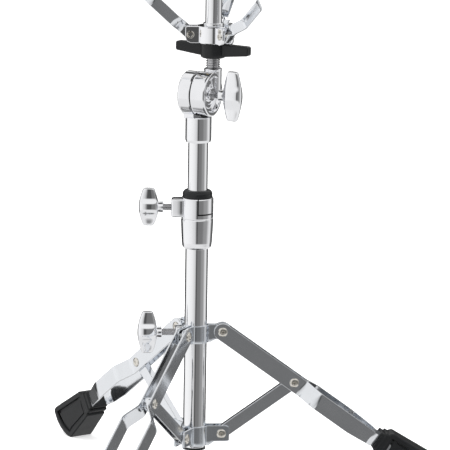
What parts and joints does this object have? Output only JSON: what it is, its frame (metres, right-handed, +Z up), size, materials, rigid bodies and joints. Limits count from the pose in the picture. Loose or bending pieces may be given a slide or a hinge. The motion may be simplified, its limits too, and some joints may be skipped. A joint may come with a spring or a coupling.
{
  "type": "snare drum stand",
  "caption": "Folding double-braced tripod stand in chrome with a height clamp, a tilting drum joint and a three-armed basket with rubber grips.",
  "frame": {"origin": "on the floor, on the axis of the column's tubes", "axes": "+Z up along the column, +X towards the right leg (4.4 degrees from it), +Y away from the front leg's side"},
  "size_m": [0.4588, 0.4916, 0.677],
  "materials": {
    "chrome": "polished",
    "cast_chrome": "polished casting",
    "screw_steel": "zinc plated thread",
    "rivet_nickel": "warm nickel",
    "brass": "satin",
    "black_rubber": "satin rubber",
    "black_nylon": "satin plastic"
  },
  "bodies": {
    "base": {"base_tube": "chrome", "base_tube_plug": "black_nylon", "lower_bracket_rear": "chrome", "lower_bracket_left": "chrome", "lower_bracket_front": "chrome", "lower_strut_rivets": "rivet_nickel", "height_clamp_body": "cast_chrome", "height_clamp_bushing": "black_nylon"},
    "height_clamp_wing_bolt": {"height_clamp_wing_head": "cast_chrome", "height_clamp_bolt": "screw_steel"},
    "leg_collar": {"upper_bracket_rear": "chrome", "upper_bracket_left": "chrome", "upper_bracket_front": "chrome", "upper_leg_rivets": "rivet_nickel", "collar_bolt_nut": "chrome"},
    "collar_wing_bolt": {"collar_wing_head": "cast_chrome", "collar_bolt": "screw_steel"},
    "right_leg": {"right_leg_strip_a": "chrome", "right_leg_strip_b": "chrome", "right_foot": "black_rubber", "right_leg_rivet": "rivet_nickel"},
    "right_strut_link": {"right_strut": "chrome"},
    "left_leg": {"left_leg_strip_a": "chrome", "left_leg_strip_b": "chrome", "left_foot": "black_rubber", "left_leg_rivet": "rivet_nickel"},
    "left_strut_link": {"left_strut": "chrome"},
    "front_leg": {"front_leg_strip_a": "chrome", "front_leg_strip_b": "chrome", "front_foot": "black_rubber", "front_leg_rivet": "rivet_nickel"},
    "front_strut_link": {"front_strut": "chrome"},
    "height_slider": {"upper_tube_glide": "black_nylon"},
    "upper_column": {"upper_tube": "chrome", "tilter_base": "cast_chrome", "tilter_friction_disc": "black_nylon"},
    "tilter_wing_bolt": {"tilter_wing_head": "cast_chrome", "tilter_bolt": "screw_steel"},
    "tilter": {"tilter_top": "cast_chrome", "threaded_rod": "screw_steel", "basket_post": "chrome", "post_cap": "black_nylon"},
    "basket": {"basket_hub": "cast_chrome", "hub_collar": "chrome", "arm_screws": "rivet_nickel"},
    "basket_nut": {"basket_wing_nut": "black_nylon", "basket_nut_insert": "brass"},
    "left_basket_arm": {"left_arm": "chrome", "left_grip": "black_rubber"},
    "front_basket_arm": {"front_arm": "chrome", "front_grip": "black_rubber"},
    "rear_basket_arm": {"rear_arm": "chrome", "rear_grip": "black_rubber"}
  },
  "joints": [
    {"name": "leg_collar_slide", "type": "slide", "parent": "base", "child": "leg_collar", "axis": [0, 0, 1], "range_m": [0, 0.0823]},
    {"name": "collar_bolt_turn", "type": "hinge", "parent": "leg_collar", "child": "collar_wing_bolt", "pos_m": [0, 0, 0.1743], "axis": [-0.9971, -0.0767, 0], "range_deg": [0, 720]},
    {"name": "right_leg_fold", "type": "hinge", "parent": "leg_collar", "child": "right_leg", "pos_m": [0.02991, 0.0023, 0.1752], "axis": [-0.0767, 0.9971, 0], "range_deg": [-0.01, 48.3]},
    {"name": "right_strut_fold", "type": "hinge", "parent": "right_leg", "child": "right_strut_link", "pos_m": [0.11102, 0.00854, 0.1167], "axis": [-0.0767, 0.9971, 0], "range_deg": [-96.6, 0.02]},
    {"name": "left_leg_fold", "type": "hinge", "parent": "leg_collar", "child": "left_leg", "pos_m": [-0.01695, 0.02475, 0.1752], "axis": [-0.8251, -0.565, 0], "range_deg": [-0.01, 48.3]},
    {"name": "left_strut_fold", "type": "hinge", "parent": "left_leg", "child": "left_strut_link", "pos_m": [-0.06291, 0.09188, 0.1167], "axis": [-0.8251, -0.565, 0], "range_deg": [-96.6, 0.02]},
    {"name": "front_leg_fold", "type": "hinge", "parent": "leg_collar", "child": "front_leg", "pos_m": [-0.01296, -0.02705, 0.1752], "axis": [0.9018, -0.4321, 0], "range_deg": [-0.01, 48.3]},
    {"name": "front_strut_fold", "type": "hinge", "parent": "front_leg", "child": "front_strut_link", "pos_m": [-0.04811, -0.10042, 0.1167], "axis": [0.9018, -0.4321, 0], "range_deg": [-96.6, 0.02]},
    {"name": "height_slide", "type": "slide", "parent": "base", "child": "height_slider", "axis": [0, 0, 1], "range_m": [-0.053, 0.15]},
    {"name": "height_clamp_bolt_turn", "type": "hinge", "parent": "base", "child": "height_clamp_wing_bolt", "pos_m": [0, 0, 0.316], "axis": [-1, 0, 0], "range_deg": [0, 720]},
    {"name": "upper_column_swivel", "type": "hinge", "parent": "height_slider", "child": "upper_column", "pos_m": [0, 0, 0.2], "axis": [0, 0, 1], "continuous": true},
    {"name": "basket_tilt", "type": "hinge", "parent": "upper_column", "child": "tilter", "pos_m": [0, 0, 0.444], "axis": [0.9063, -0.4226, 0], "range_deg": [-25, 60]},
    {"name": "tilter_bolt_turn", "type": "hinge", "parent": "upper_column", "child": "tilter_wing_bolt", "pos_m": [0, 0, 0.444], "axis": [0.9063, -0.4226, 0], "range_deg": [0, 720]},
    {"name": "basket_lift", "type": "slide", "parent": "tilter", "child": "basket", "axis": [0, 0, 1], "range_m": [-0.0042, 0.0084]},
    {"name": "basket_nut_turn", "type": "hinge", "parent": "basket", "child": "basket_nut", "pos_m": [0.015, 0.01088, 0.491], "axis": [0, 0, 1], "range_deg": [-606, 1225]},
    {"name": "left_arm_swing", "type": "hinge", "parent": "basket", "child": "left_basket_arm", "pos_m": [-0.01048, 0.00999, 0.509], "axis": [-0.0349, 0.9994, 0], "range_deg": [-16.6, 33.5]},
    {"name": "front_arm_swing", "type": "hinge", "parent": "basket", "child": "front_basket_arm", "pos_m": [0.02852, -0.01075, 0.509], "axis": [-0.848, -0.5299, 0], "range_deg": [-16.6, 33.5]},
    {"name": "rear_arm_swing", "type": "hinge", "parent": "basket", "child": "rear_basket_arm", "pos_m": [0.02697, 0.03339, 0.509], "axis": [0.8829, -0.4695, 0], "range_deg": [-16.6, 33.5]}
  ],
  "couplings": [
    {"joint": "right_leg_fold", "follows": "leg_collar_slide", "rad_per_m": 10.238},
    {"joint": "right_strut_fold", "follows": "leg_collar_slide", "rad_per_m": -20.477},
    {"joint": "left_leg_fold", "follows": "leg_collar_slide", "rad_per_m": 10.238},
    {"joint": "left_strut_fold", "follows": "leg_collar_slide", "rad_per_m": -20.477},
    {"joint": "front_leg_fold", "follows": "leg_collar_slide", "rad_per_m": 10.238},
    {"joint": "front_strut_fold", "follows": "leg_collar_slide", "rad_per_m": -20.477},
    {"joint": "basket_nut_turn", "follows": "basket_lift", "rad_per_m": 2513.3},
    {"joint": "left_arm_swing", "follows": "basket_lift", "rad_per_m": 68.493},
    {"joint": "front_arm_swing", "follows": "basket_lift", "rad_per_m": 68.493},
    {"joint": "rear_arm_swing", "follows": "basket_lift", "rad_per_m": 68.493}
  ]
}
